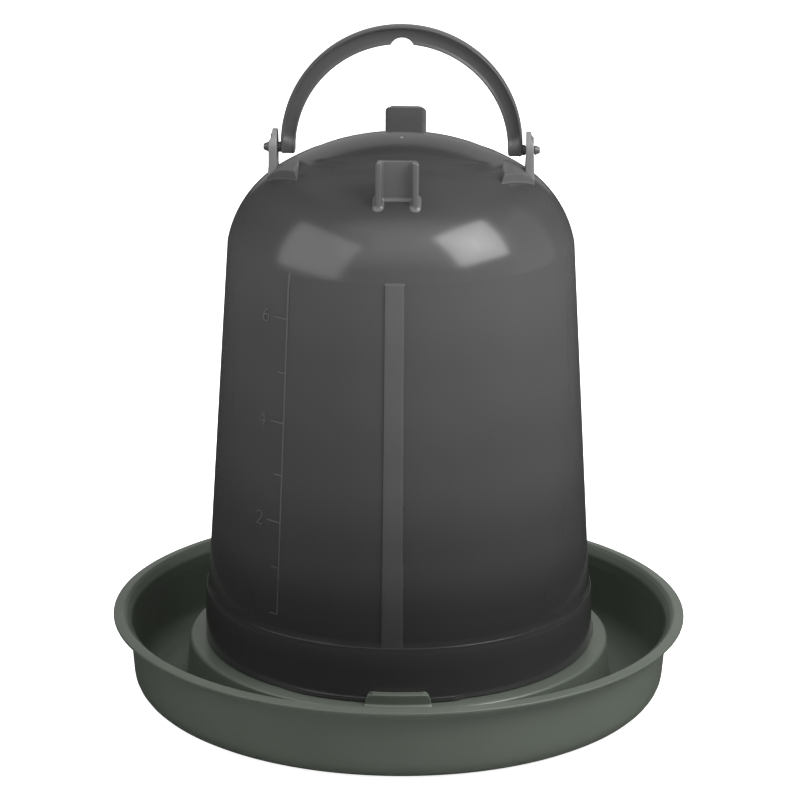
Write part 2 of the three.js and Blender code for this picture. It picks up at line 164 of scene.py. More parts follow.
# Handle
PIN_HEIGHT = joint("handle_swing")["pos_m"][2] / MM
PIN_RADIUS = 2.4
PIN_COLLAR_RADIUS = 3.0
PIN_COLLAR_GAP = 0.35
PIN_HEAD_GAP = 0.5
PIN_HEAD_RADIUS = 3.0
PIN_TIP_RADIUS = 1.65
PIN_HEAD_LENGTH = 3.0
BOW_OUTER_RADIUS = 69.5
BOW_CENTRE = BOW_HIGH[2] - BOW_OUTER_RADIUS
BOW_INNER_HALF_WIDTH = 61.0
BOW_CROWN_DEPTH = 11.2
BOW_INNER_RISE = BOW_HIGH[2] - BOW_CROWN_DEPTH - PIN_HEIGHT
BOW_FOOT = BOW_LOW[2]
BOW_WIDTH = 9.0
BOW_STEPS = 120
FOOT_STEPS = (0.0, 0.4, 1.2, 2.2)
FOOT_SHRINK = {0: 0.9, 1: 0.35, 2: 0.08}
WEB_HALF = 1.5
BEAD_HALF = 2.5
NOTCH_RADIUS = 7.3
NOTCH_DEPTH = 3.9


# ---- Mesh work ----
def shape_of(rings, closed_loop=False):
    """Joins closed rings of equal length into a skin, capped at both ends unless the rings form a loop."""
    count = len(rings[0])
    points = [p for ring in rings for p in ring]
    faces = []
    last = len(rings) if closed_loop else len(rings) - 1
    for i in range(last):
        a, b = i * count, ((i + 1) % len(rings)) * count
        for j in range(count):
            k = (j + 1) % count
            faces.append((a + j, a + k, b + k, b + j))
    if not closed_loop:
        faces.append(tuple(reversed(range(count))))
        faces.append(tuple(range(len(points) - count, len(points))))
    return points, faces


def turned(points, degrees):
    """The points turned about +Z."""
    a = math.radians(degrees)
    c, s = math.cos(a), math.sin(a)
    return [(x * c - y * s, x * s + y * c, z) for x, y, z in points]


def joined(*shapes):
    """Several shapes as one."""
    points, faces = [], []
    for some_points, some_faces in shapes:
        start = len(points)
        points += some_points
        faces += [tuple(i + start for i in face) for face in some_faces]
    return points, faces


def mesh_of(name, shape, turn, weld):
    """A mesh in metres from a shape in millimetres, turned about +Z by an angle in radians."""
    points, faces = shape
    if turn:
        points = turned(points, math.degrees(turn))
    mesh = bpy.data.meshes.new(name)
    mesh.from_pydata([(x * MM, y * MM, z * MM) for x, y, z in points], [], faces)
    work = bmesh.new()
    work.from_mesh(mesh)
    if weld:
        bmesh.ops.remove_doubles(work, verts=work.verts, dist=WELD_DISTANCE * MM)
        bmesh.ops.dissolve_degenerate(work, edges=work.edges, dist=WELD_DISTANCE / 2 * MM)
    bmesh.ops.recalc_face_normals(work, faces=work.faces)
    work.to_mesh(mesh)
    work.free()
    return mesh


def smooth(mesh):
    """Smooth shading, with a crease at every sharp edge."""
    mesh.shade_smooth()
    mesh.set_sharp_from_angle(angle=SMOOTH_ANGLE)


def linked(name, data):
    """A new object in the scene."""
    made = bpy.data.objects.new(name, data)
    bpy.context.scene.collection.objects.link(made)
    return made


def piece(name, shape, body, nodes, material, turn=0.0):
    """One visible piece from a shape in millimetres, riding on a CAD body in place of its CAD nodes."""
    mesh = mesh_of(name, shape, turn, weld=True)
    smooth(mesh)
    made = linked(name, mesh)
    mesh.materials.append(material)
    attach(made, body)
    if nodes:
        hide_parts(*nodes)
    return made


def cut(target, shape, turn):
    """Takes a closed shape out of a piece for good."""
    cutter = linked("cutter", mesh_of("cutter", shape, turn, weld=False))
    modifier = target.modifiers.new("cut", "BOOLEAN")
    modifier.object = cutter
    modifier.operation = "DIFFERENCE"
    modifier.solver = "EXACT"
    graph = bpy.context.evaluated_depsgraph_get()
    result = bpy.data.meshes.new_from_object(target.evaluated_get(graph))
    target.modifiers.clear()
    target.data = result
    smooth(result)
    bpy.data.objects.remove(cutter)


def smoothstep(low, high, value):
    """0 at low and 1 at high, with a smooth change between; low may be the larger one."""
    share = min(1.0, max(0.0, (value - low) / (high - low)))
    return share * share * (3 - 2 * share)


def quarter(steps):
    """A quarter circle of radius 1 in steps, as pairs that run from (1, 0) to (0, 1)."""
    angles = [math.pi / 2 * k / steps for k in range(steps + 1)]
    return [(1 - math.sin(t), 1 - math.cos(t)) for t in angles]


def rounded(corners, steps=6):
    """A closed outline from corners (x, y, radius), each turned into an arc."""
    points = []
    for i, (x, y, radius) in enumerate(corners):
        if radius == 0:
            points.append((x, y))
            continue
        here = Vector((x, y))
        before = Vector(corners[i - 1][:2]) - here
        after = Vector(corners[(i + 1) % len(corners)][:2]) - here
        reach = min(before.length, after.length) * 0.5
        before.normalize()
        after.normalize()
        half = before.angle(after) / 2
        tangent = min(radius / math.tan(half), reach)
        size = tangent * math.tan(half)
        centre = here + (before + after).normalized() * (size / math.sin(half))
        first, final = here + before * tangent - centre, here + after * tangent - centre
        sweep = first.angle_signed(final)
        for k in range(steps + 1):
            a = -sweep * k / steps
            c, s = math.cos(a), math.sin(a)
            points.append((centre.x + first.x * c - first.y * s, centre.y + first.x * s + first.y * c))
    return points


def evenly(points, longest, closed=True):
    """The same outline with no side longer than a limit."""
    out = []
    for i, p in enumerate(points):
        if i == len(points) - 1 and not closed:
            out.append(p)
            break
        q = points[(i + 1) % len(points)]
        parts = max(1, math.ceil(math.dist(p, q) / longest))
        out += [(p[0] + (q[0] - p[0]) * k / parts, p[1] + (q[1] - p[1]) * k / parts) for k in range(parts)]
    return out


def lathe(profile, bearings, proud=None):
    """A closed profile of (radius, height) turned about +Z, with an optional outward offset at each place."""
    rings = []
    for bearing in bearings:
        a = math.radians(bearing)
        ring = []
        for r, z in profile:
            radius = r + (proud(bearing, r, z) if proud else 0.0)
            ring.append((radius * math.sin(a), -radius * math.cos(a), z))
        rings.append(ring)
    return shape_of(rings, closed_loop=True)


def normals_of(outline):
    """Outward normals of a closed outline that runs counterclockwise."""
    count = len(outline)
    out = []
    for i in range(count):
        a, b = outline[i - 1], outline[(i + 1) % count]
        dx, dy = b[0] - a[0], b[1] - a[1]
        size = math.hypot(dx, dy)
        out.append((dy / size, -dx / size))
    return out


def counterclockwise(outline):
    """The outline, reversed if it runs clockwise."""
    area = sum(p[0] * q[1] - q[0] * p[1] for p, q in zip(outline, outline[1:] + outline[:1]))
    return outline if area > 0 else outline[::-1]


# ---- Tray ----
def tray_profile():
    """The pan's section as (radius, height, corner radius): underside outwards, rim, back over the top."""
    under = PLATEAU - WALL
    return [
        (0, CENTRE_HEIGHT - WALL, 0),
        (CENTRE_RADIUS + 1.2, CENTRE_HEIGHT - WALL, 1.5),
        (SEAT_INNER_RADIUS + 1.2, under - 1.5, 1.5),
        (SEAT_INNER_RADIUS + WALL, under, 1.5),
        (PLATEAU_RADIUS - WALL, under, 1.5),
        (PLATEAU_FOOT_RADIUS - WALL, 2 * WALL, 1.5),
        (REST_RING_INNER - 1.5, 1.2, 1.0),
        (REST_RING_INNER, 0, 0.8),
        (WALL_FOOT_RADIUS, 0, TRAY_CORNER),
        (WALL_TOP_RADIUS, WALL_TOP, 5),
        (WALL_TOP_RADIUS + 2.2, LIP_TOP - LIP_HEIGHT - 2.2, 2.4),
        (RIM_CREST_RADIUS + 1.4, LIP_TOP - LIP_HEIGHT - 0.6, 2.0),
        (TRAY_RADIUS, LIP_TOP - LIP_HEIGHT, 0.7),
        (TRAY_RADIUS, LIP_TOP, 0.7),
        (RIM_CREST_RADIUS, RIM_CREST + 0.12, 2.2),
        (RIM_CREST_RADIUS - 2.2, RIM_CREST - 1.6, 2.0),
        (WALL_TOP_RADIUS - 1.2, WALL_TOP + 3.2, 4.0),
        (WALL_TOP_RADIUS - WALL, WALL_TOP - 3, 5),
        (WALL_FOOT_RADIUS - WALL, WALL, TRAY_CORNER - WALL),
        (PLATEAU_FOOT_RADIUS, WALL, 4.0),
        (PLATEAU_RADIUS, PLATEAU, 2.0),
        (SEAT_INNER_RADIUS, PLATEAU, 1.5),
        (CENTRE_RADIUS, CENTRE_HEIGHT, 1.5),
        (0, CENTRE_HEIGHT, 0),
    ]


def tray_pan():
    profile = evenly(rounded(tray_profile(), 7), 3.0)
    return lathe(profile, [i * 360 / 320 for i in range(320)])


def tab_half_width(z):
    """Half the tab's width at a height, with its upper corners rounded."""
    share = (z - PLATEAU) / (TAB_TOP - PLATEAU)
    half = (TAB_FOOT_WIDTH + (TAB_TOP_WIDTH - TAB_FOOT_WIDTH) * share) / 2
    rise = z - (TAB_TOP - TAB_CORNER)
    if rise > 0:
        half -= TAB_CORNER - math.sqrt(max(0.0, TAB_CORNER**2 - rise**2))
    return half


def lock_tab(bearing):
    """A hooked tab: its section (radius, height) is swept along the plateau and rounded at both ends."""
    under = TAB_TOP - TAB_HOOK_THICKNESS
    post = TAB_OUTER_RADIUS - TAB_POST
    section = rounded(
        [
            (post - 1.2, PLATEAU - 0.4, 0),
            (TAB_OUTER_RADIUS + 1.2, PLATEAU - 0.4, 0),
            (TAB_OUTER_RADIUS + 1.0, PLATEAU + 0.05, 0),
            (TAB_OUTER_RADIUS, PLATEAU + 1.0, 1.2),
            (TAB_OUTER_RADIUS, TAB_TOP, 0.8),
            (TAB_HOOK_INNER_RADIUS, TAB_TOP, 0.6),
            (TAB_HOOK_INNER_RADIUS, under, 0.5),
            (post, under, 0.8),
            (post, PLATEAU + 0.8, 0.8),
            (post - 1.0, PLATEAU + 0.05, 0),
        ],
        4,
    )
    section = counterclockwise(evenly(section, 1.2))
    normals = normals_of(section)
    ends = [(-1.0, TAB_EDGE * inset, TAB_EDGE * along) for inset, along in quarter(4)]
    places = ends + [(-1.0 + k / 8, 0.0, TAB_EDGE) for k in range(1, 16)]
    places += [(1.0, inset, along) for _, inset, along in reversed(ends)]
    rings = []
    for share, inset, along in places:
        ring = []
        for (r, z), (nr, nz) in zip(section, normals):
            rr, zz = r - nr * inset, z - nz * inset
            half = tab_half_width(z)
            if abs(share) == 1.0:
                offset = math.copysign(half - along, share)
            else:
                offset = (half - TAB_EDGE) * share
            a = offset / TAB_OUTER_RADIUS
            ring.append((rr * math.sin(a), -rr * math.cos(a), zz))
        rings.append(ring)
    points, faces = shape_of(rings)
    return turned(points, bearing), faces


# ---- Fount ----
def dome_arcs(offset=0.0, steps=(40, 60)):
    """The outline from the top of the straight side over the shoulder to the apex, moved outwards."""
    out = (math.cos(SIDE_DRAFT), math.sin(SIDE_DRAFT))
    up = (-out[1], out[0])
    crown_z = APEX - CROWN_ROUND
    start = (SIDE_FOOT_RADIUS - SHOULDER_ROUND * out[0], BAND_TOP - SHOULDER_ROUND * out[1])
    to_start = (start[0], start[1] - crown_z)
    along = to_start[0] * up[0] + to_start[1] * up[1]
    reach = to_start[0] ** 2 + to_start[1] ** 2 - (CROWN_ROUND - SHOULDER_ROUND) ** 2
    climb = -along + math.sqrt(along**2 - reach)
    centre = (start[0] + climb * up[0], start[1] + climb * up[1])
    meeting = math.atan2(centre[1] - crown_z, centre[0])
    points = []
    for i in range(steps[0]):
        a = SIDE_DRAFT + (meeting - SIDE_DRAFT) * i / steps[0]
        size = SHOULDER_ROUND + offset
        points.append((centre[0] + size * math.cos(a), centre[1] + size * math.sin(a)))
    for i in range(steps[1] + 1):
        a = meeting + (math.pi / 2 - meeting) * i / steps[1]
        size = CROWN_ROUND + offset
        points.append((size * math.cos(a), crown_z + size * math.sin(a)))
    points[-1] = (0.0, crown_z + CROWN_ROUND + offset)
    return points


DOME = np.array(dome_arcs())[::-1]


def dome_height(x, y):
    """Height of the fount's outer surface above a place in plan."""
    return float(np.interp(math.hypot(x, y), DOME[:, 0], DOME[:, 1]))


def side_radius(z, offset=0.0):
    """Radius of the fount's outer surface at a height, below the apex."""
    if z < BAND_TOP:
        share = (z - FOOT) / (BAND_TOP - FOOT)
        return BAND_FOOT_RADIUS + (BAND_TOP_RADIUS - BAND_FOOT_RADIUS) * share + offset
    shoulder = DOME[-1]
    if z < shoulder[1]:
        return SIDE_FOOT_RADIUS - (z - BAND_TOP) * math.tan(SIDE_DRAFT) + offset
    return float(np.interp(-z, -DOME[:, 1], DOME[:, 0])) + offset


def crown_offset(x, y):
    """The shallow step round the oblong on the crown."""
    level = math.hypot(x / CREASE_HALF_LENGTH, y / CREASE_HALF_WIDTH)
    step = -CREASE_STEP * smoothstep(0.96, 1.03, level) * (1 - smoothstep(1.05, 1.5, level))
    return step * smoothstep(*CREASE_FADE, abs(x))


def crown_height(x, y):
    """Height of the finished crown above a place in plan."""
    return dome_height(x, y) + crown_offset(x, y)


def fount_shell():
    """The hollow dome with its band and its raised strip at the front."""
    lower = rounded(
        [
            (BAND_FOOT_RADIUS - WALL - 0.6, FOOT, 0.8),
            (BAND_FOOT_RADIUS, FOOT, 0.8),
            (BAND_TOP_RADIUS - 0.1, BAND_TOP - 3.5, 3.0),
            (BAND_TOP_RADIUS - 0.45, BAND_TOP, 0.25),
            (BAND_TOP_RADIUS - 0.9, BAND_TOP + 0.12, 0.2),
            (side_radius(BAND_TOP + 3.5), BAND_TOP + 3.5, 3.0),
            (side_radius(BAND_TOP + 6), BAND_TOP + 6, 0),
            (side_radius(BAND_TOP + 6) - WALL, BAND_TOP + 6, 0),
        ],
        5,
    )[:-1]
    outer = evenly(lower + [(side_radius(STRIP_TOP - 0.3), STRIP_TOP - 0.3)], 4.0, closed=False)
    arcs = dome_arcs()
    outer += [(side_radius(STRIP_TOP + dz), STRIP_TOP + dz) for dz in (0.0, 0.5, 1.2)]
    outer += [p for p in arcs if p[1] > STRIP_TOP + 1.3]
    inner = dome_arcs(-WALL, (12, 12))[::-1]
    inner += [(side_radius(z, -WALL), z) for z in (200, 130, 80)]
    half = STRIP_HALF_ANGLE
    edge = STRIP_EDGE_ANGLE
    bearings = [i * 360 / SHELL_STEPS for i in range(SHELL_STEPS)]
    keep = [b for b in bearings if min(b, 360 - b) > half + 0.6]
    strip = [half * k / 3 for k in (-3, -2, -1, 0, 1, 2, 3)]
    strip += [-half - edge, -half - 0.45, half + edge, half + 0.45, -half + 0.12, half - 0.12]
    bearings = sorted([b % 360 for b in strip] + keep)

    def proud(bearing, r, z):
        away = min(bearing, 360 - bearing)
        if away > half + edge / 2 or not BAND_TOP + 0.25 < z < STRIP_TOP + 0.1:
            return 0.0
        if r < side_radius(z) - WALL / 2:
            return 0.0
        full = STRIP_PROUD * (1.0 if away < half - 0.05 else 0.92)
        return full * smoothstep(STRIP_TOP + 0.1, STRIP_TOP - 0.1, z)

    points, faces = lathe(outer + inner, bearings, proud)
    out = []
    for x, y, z in points:
        if z > 295 and z > dome_height(x, y) - WALL / 2:
            z += crown_offset(x, y)
        out.append((x, y, z))
    return out, faces


def gate_mark():
    """The stub left where the plastic was let into the mould, near the apex."""
    profile = [(0, -1.0), (1.2, -1.0), (1.15, 0.1), (0.95, 0.42), (0.5, 0.6), (0, 0.64)]
    base = dome_height(0, GATE_PLACE)
    rings = []
    for k in range(32):
        a = 2 * math.pi * k / 32
        rings.append([(r * math.cos(a), GATE_PLACE + r * math.sin(a), base + z) for r, z in profile])
    return shape_of(rings, closed_loop=True)


def outlet_cutter():
    """The opening in the foot that lets the water out."""
    outline = rounded(
        [
            (-OUTLET_WIDTH / 2, FOOT - 5, 0),
            (OUTLET_WIDTH / 2, FOOT - 5, 0),
            (OUTLET_WIDTH / 2, FOOT + OUTLET_HEIGHT, 3),
            (-OUTLET_WIDTH / 2, FOOT + OUTLET_HEIGHT, 3),
        ]
    )
    return shape_of([[(x, y, z) for x, z in outline] for y in (100.0, 130.0)])


def bayonet_flange(bearing):
    """A low ledge round the foot, which thins away at both ends."""
    section = rounded(
        [
            (BAND_FOOT_RADIUS - 0.6, FOOT + 0.1, 0),
            (FLANGE_RADIUS, FOOT + 0.1, 0.4),
            (FLANGE_RADIUS, FLANGE_TOP, 0.4),
            (BAND_FOOT_RADIUS - 0.6, FLANGE_TOP, 0),
        ],
        4,
    )
    rings = []
    for k in range(FLANGE_STEPS + 1):
        at = FLANGE_START + (FLANGE_END - FLANGE_START) * k / FLANGE_STEPS
        full = smoothstep(FLANGE_START, FLANGE_START + 14, at) * smoothstep(FLANGE_END, FLANGE_END - 5, at)
        a = math.radians(at)
        ring = []
        for r, z in section:
            radius = min(r, BAND_FOOT_RADIUS - 0.5 + (FLANGE_RADIUS - BAND_FOOT_RADIUS + 0.5) * full)
            ring.append((radius * math.sin(a), -radius * math.cos(a), z))
        rings.append(ring)
    points, faces = shape_of(rings)
    return turned(points, bearing), faces


def boss(outline, top, fillet, edge, steps=5):
    """A block that stands on the crown: plan outline, top height at a place, foot fillet, top rounding."""
    outline = counterclockwise(outline)
    normals = normals_of(outline)
    rings = []

    def add_ring(offset, level):
        """A ring outside the outline; level gives its height from the ground and the top of the wall."""
        ring = []
        for (x, y), (nx, ny) in zip(outline, normals):
            px, py = x + nx * offset, y + ny * offset
            ring.append((px, py, level(crown_height(px, py), top(x, y) - edge)))
        rings.append(ring)

    add_ring(fillet + 0.3, lambda ground, wall_top: ground - 0.4)
    for k, (inset, rise) in enumerate(quarter(steps)):
        lift = fillet * rise - 0.05 * (1 - k / steps)
        add_ring(fillet * inset, lambda ground, wall_top: min(ground + lift, wall_top))
    for share in (0.33, 0.66):
        add_ring(
            0.0, lambda ground, wall_top: min(ground + fillet, wall_top) * (1 - share) + wall_top * share
        )
    for inset, rise in quarter(steps):
        add_ring(-edge * rise, lambda ground, wall_top: wall_top + edge * (1 - inset))
    return shape_of(rings)


def lug_top(x, y):
    """The front lug's top, with its outer corners rounded."""
    past = abs(x) - (LUG_WIDTH / 2 - LUG_CORNER)
    if past <= 0:
        return LUG_TOP
    return LUG_TOP - LUG_CORNER + math.sqrt(max(0.0, LUG_CORNER**2 - min(past, LUG_CORNER) ** 2))


def rear_lug_top(x, y):
    """The rear lug's ribs fall away behind its back wall."""
    return lug_top(x, y) - RIB_FALL * max(0.0, -y - LUG_INNER_RADIUS - REAR_LUG_BACK)


def foot_lug(bearing, top, corner, back):
    """A U-shaped lug: a back wall of a given thickness with a rib at each side."""
    half = LUG_WIDTH / 2
    inside = half - LUG_RIB
    outline = rounded(
        [
            (-half, -LUG_INNER_RADIUS, corner),
            (-half, -LUG_OUTER_RADIUS, 1.2),
            (-inside, -LUG_OUTER_RADIUS, 1.2),
            (-inside, -LUG_INNER_RADIUS - back, 1.5),
            (inside, -LUG_INNER_RADIUS - back, 1.5),
            (inside, -LUG_OUTER_RADIUS, 1.2),
            (half, -LUG_OUTER_RADIUS, 1.2),
            (half, -LUG_INNER_RADIUS, corner),
        ],
        7,
    )
    points, faces = boss(evenly(outline, 1.6), top, LUG_FILLET, LUG_EDGE)
    return turned(points, bearing), faces


def pad_height(x, y):
    """The pad's front half is level; its inner end and its rear half run out into the crown."""
    ground = crown_height(x, y)
    ridge = float(np.interp(x, *zip(*PAD_RIDGE)))
    full = smoothstep(PAD_INNER - 1.4, PAD_INNER + 0.8, x) * smoothstep(PAD_REAR_END, PAD_REAR_START, y)
    return ground - PAD_SUNK + max(0.0, ridge - ground + PAD_SUNK) * full


def pad_flank(x, half, back):
    """One side of the pad's section, from the crown up to its top edge."""
    top = pad_height(x, back * (half - PAD_EDGE))
    ground = crown_height(x, half + PAD_FILLET)
    rise = max(0.0, top - ground)
    low = min(PAD_FILLET, 0.5 * rise)
    high = min(PAD_EDGE, 0.4 * rise)
    flank = [(back * (half + PAD_FILLET + 0.4), ground - 0.5)]
    for inset, lift in quarter(5):
        flank.append((back * (half + PAD_FILLET * inset), ground - 0.03 + low * lift))
    for inset, lift in quarter(5):
        flank.append((back * (half - PAD_EDGE * lift), top - high * inset))
    return flank


def ear_pad(side):
    """A low pad from the crown out to the ear, built from sections across the fount."""
    stations = [PAD_INNER - 1.6 + 0.4 * k for k in range(8)]
    stations += list(np.linspace(PAD_INNER + 1.8, PAD_OUTER, 20))
    rings = []
    for x in stations:
        share = (PAD_OUTER - x) / (PAD_OUTER - PAD_INNER)
        half = PAD_OUTER_HALF_WIDTH + (PAD_INNER_HALF_WIDTH - PAD_OUTER_HALF_WIDTH) * share
        across = [(half - PAD_EDGE) * (2 * k / 16 - 1) for k in range(1, 16)]
        section = pad_flank(x, half, -1)
        section += [(y, pad_height(x, y)) for y in across]
        section += reversed(pad_flank(x, half, 1))
        section += [(y, dome_height(x, y) - 2.0) for y in (half, 0.0, -half)]
        rings.append([(side * x, y, z) for y, z in section])
    return shape_of(rings if side > 0 else rings[::-1])


def handle_ear(side):
    """A rounded plate across the fount, thinner above the pin on its outer side."""
    spread = EAR_HALF_WIDTH + EAR_FOOT_SPREAD
    outline = [(-spread, EAR_FOOT), (spread, EAR_FOOT), (EAR_HALF_WIDTH, EAR_WAIST)]
    for k in range(37):
        a = math.pi * k / 36
        outline.append((EAR_HALF_WIDTH * math.cos(a), PIN_HEIGHT + EAR_HALF_WIDTH * math.sin(a)))
    outline.append((-EAR_HALF_WIDTH, EAR_WAIST))
    outline = counterclockwise(evenly(outline, 2.0))
    normals = normals_of(outline)
    rings = []
    levels = [(EAR_EDGE * inset, EAR_EDGE * along) for inset, along in quarter(5)]
    stations = [(inset, EAR_INNER + along) for inset, along in levels]
    stations += [(inset, EAR_INNER + EAR_THICKNESS - along) for inset, along in reversed(levels)]
    for inset, x in stations:
        ring = []
        for (y, z), (ny, nz) in zip(outline, normals):
            tip = smoothstep(EAR_TIP_START, EAR_TIP_START + 1.6, z)
            share = (x - EAR_INNER) / EAR_THICKNESS
            thickness = EAR_THICKNESS + (EAR_TIP_THICKNESS - EAR_THICKNESS) * tip
            flare = EAR_FLARE * smoothstep(EAR_WAIST + 2, EAR_WAIST - 3, z) * (2 * share - 1)
            ring.append((EAR_INNER + share * thickness + flare, y - ny * inset, z - nz * inset))
        rings.append(ring)
    points, faces = shape_of(rings)
    return turned(points, 0 if side > 0 else 180), faces


# ---- Level scale ----
SCALE_BEARING = -36.3
SCALE_TOP = 273.9
SCALE_FOOT = 74.5
MAJOR_TICKS = [(128.8, "2"), (187.0, "4"), (247.3, "6")]
MINOR_TICKS = [102.0, 156.5, 216.1]
MAJOR_LENGTH = 10.0
MINOR_LENGTH = 5.5
LINE_WIDTH = 0.9
LINE_PROUD = 0.07
TICK_WIDTH = 0.7
TICK_PROUD = 0.06
RIBBON_SUNK = -0.3
RIBBON_EDGE = 0.02
DIGIT_WIDTH = 4.6
DIGIT_HEIGHT = 7.6
DIGIT_LEFT = -19.0
STROKES = {
    "2": [
        [
            (0.0, 0.72), (0.12, 0.92), (0.5, 1.0), (0.88, 0.92), (1.0, 0.72), (0.85, 0.5),
            (0.0, 0.0), (1.0, 0.0),
        ]
    ],
    "4": [[(0.78, 0.0), (0.78, 1.0), (0.0, 0.32), (1.0, 0.32)]],
    "6": [
        [
            (0.85, 1.0), (0.4, 0.82), (0.1, 0.5), (0.0, 0.25), (0.2, 0.04), (0.5, 0.0),
            (0.85, 0.06), (1.0, 0.28), (0.85, 0.5), (0.5, 0.56), (0.1, 0.42),
        ]
    ],
}


def on_side(u, z, lift):
    """A point of the fount's side, u millimetres to the right of the scale's line."""
    r = side_radius(z)
    a = math.radians(SCALE_BEARING) + u / r
    return ((r + lift) * math.sin(a), -(r + lift) * math.cos(a), z)


def ribbon(path, width, proud):
    """A raised line with sloping sides along a path on the fount's side."""
    path = evenly(path, 2.5, closed=False)
    section = [(-0.5, RIBBON_SUNK), (-0.5, RIBBON_EDGE), (-0.28, proud)]
    section += [(-share, lift) for share, lift in reversed(section)]
    rings = []
    for i, (u, z) in enumerate(path):
        a, b = path[max(0, i - 1)], path[min(len(path) - 1, i + 1)]
        du, dz = b[0] - a[0], b[1] - a[1]
        size = math.hypot(du, dz)
        nu, nz = -dz / size, du / size
        end = i in (0, len(path) - 1)
        ring = []
        for share, lift in section:
            across = width * share
            lift = min(lift, RIBBON_EDGE) if end else lift
            ring.append(on_side(u + nu * across, z + nz * across, lift))
        rings.append(ring)
    return shape_of(rings)


def level_scale():
    """The scale's line, its ticks and a numeral at each large tick."""
    lines = [ribbon([(0, SCALE_FOOT), (0, SCALE_TOP)], LINE_WIDTH, LINE_PROUD)]
    for z in [SCALE_FOOT] + MINOR_TICKS:
        lines.append(ribbon([(-MINOR_LENGTH, z), (0, z)], TICK_WIDTH, TICK_PROUD))
    for z, digit in MAJOR_TICKS:
        lines.append(ribbon([(-MAJOR_LENGTH, z), (0, z)], TICK_WIDTH, TICK_PROUD))
        low = z - DIGIT_HEIGHT / 2
        for stroke in STROKES[digit]:
            path = [(DIGIT_LEFT + u * DIGIT_WIDTH, low + v * DIGIT_HEIGHT) for u, v in stroke]
            lines.append(ribbon(path, TICK_WIDTH, TICK_PROUD))
    return joined(*lines)


# ---- Handle ----
def bow_stations():
    """Pairs of outer and inner points of the arch, from the right foot to the left one."""
    feet = [BOW_FOOT + rise for rise in FOOT_STEPS]
    pairs = [((BOW_OUTER_RADIUS, z), (BOW_INNER_HALF_WIDTH, z)) for z in feet]
    for k in range(BOW_STEPS + 1):
        a = math.pi * k / BOW_STEPS
        outer = (BOW_OUTER_RADIUS * math.cos(a), BOW_CENTRE + BOW_OUTER_RADIUS * math.sin(a))
        inner = (BOW_INNER_HALF_WIDTH * math.cos(a), PIN_HEIGHT + BOW_INNER_RISE * math.sin(a))
        pairs.append((outer, inner))
    return pairs + [((-BOW_OUTER_RADIUS, z), (-BOW_INNER_HALF_WIDTH, z)) for z in reversed(feet)]


def bow_section(length, closed):
    """Half the bow's section as (depth from the outer edge, half width); closed is 1 in the solid feet."""
    half = BOW_WIDTH / 2
    web = WEB_HALF + (half - 0.7 - WEB_HALF) * closed
    bead = BEAD_HALF + (half - BEAD_HALF) * closed
    return [
        (0.0, 0.0),
        (0.02, half * 0.35),
        (0.12, half * 0.65),
        (0.35, half * 0.88),
        (0.75, half),
        (1.15, half),
        (1.5, half * 0.94),
        (1.7, max(web + 1.2, half * 0.8) if closed < 0.5 else max(web, half * 0.8)),
        (1.8, web + 0.8 * (1 - closed)),
        (2.1, web + 0.25 * (1 - closed)),
        (2.6, web),
        (length / 2, web),
        (length - 2.3, web),
        (length - 1.8, web + 0.2 * (1 - closed)),
        (length - 1.5, web + 0.6 * (1 - closed)),
        (length - 1.2, bead - 0.1),
        (length - 0.8, bead),
        (length - 0.35, bead * 0.9),
        (length - 0.08, bead * 0.6),
        (length, 0.0),
    ]


def handle_bow():
    """The arch, its section swept from foot to foot, with rounded ends."""
    rings = []
    pairs = bow_stations()
    for i, (outer, inner) in enumerate(pairs):
        foot = min(i, len(pairs) - 1 - i)
        closed = smoothstep(7.5, 4.5, foot) if foot > 3 else 1.0
        length = math.dist(outer, inner)
        direction = ((inner[0] - outer[0]) / length, (inner[1] - outer[1]) / length)
        half_section = bow_section(length, closed)
        loop = half_section + [(d, -w) for d, w in reversed(half_section[1:-1])]
        shrink = FOOT_SHRINK.get(foot, 0.0)
        ring = []
        for depth, width in loop:
            d = depth + (length / 2 - depth) * shrink * 2 / length
            w = width * (1 - shrink * 2 / BOW_WIDTH)
            ring.append((outer[0] + direction[0] * d, w, outer[1] + direction[1] * d))
        rings.append(ring)
    return shape_of(rings)


def notch_cutter():
    """The half-round notch under the middle of the bow."""
    centre = PIN_HEIGHT + BOW_INNER_RISE + NOTCH_DEPTH - NOTCH_RADIUS
    circle = []
    for k in range(64):
        a = 2 * math.pi * k / 64
        circle.append((NOTCH_RADIUS * math.cos(a), centre + NOTCH_RADIUS * math.sin(a)))
    return shape_of([[(x, y, z) for x, z in circle] for y in (-BOW_WIDTH, BOW_WIDTH)])


def handle_pin(side):
    """The shaft with its collar and snap head, turned about the handle's axis."""
    root = BOW_OUTER_RADIUS - 1.0
    collar_end = EAR_INNER - PIN_COLLAR_GAP
    head = EAR_INNER + EAR_THICKNESS + PIN_HEAD_GAP
    profile = evenly(
        rounded(
            [
                (0, root, 0),
                (PIN_COLLAR_RADIUS, root, 0),
                (PIN_COLLAR_RADIUS, collar_end, 0.3),
                (PIN_RADIUS, collar_end, 0.1),
                (PIN_RADIUS, head, 0.1),
                (PIN_HEAD_RADIUS, head, 0.2),
                (PIN_TIP_RADIUS, head + PIN_HEAD_LENGTH, 0.3),
                (0, head + PIN_HEAD_LENGTH, 0),
            ],
            5,
        ),
        1.0,
    )
    rings = []
    for k in range(48):
        a = 2 * math.pi * k / 48
        rings.append([(side * x, r * math.cos(a), PIN_HEIGHT + r * math.sin(a)) for r, x in profile])
    return shape_of(rings, closed_loop=True)


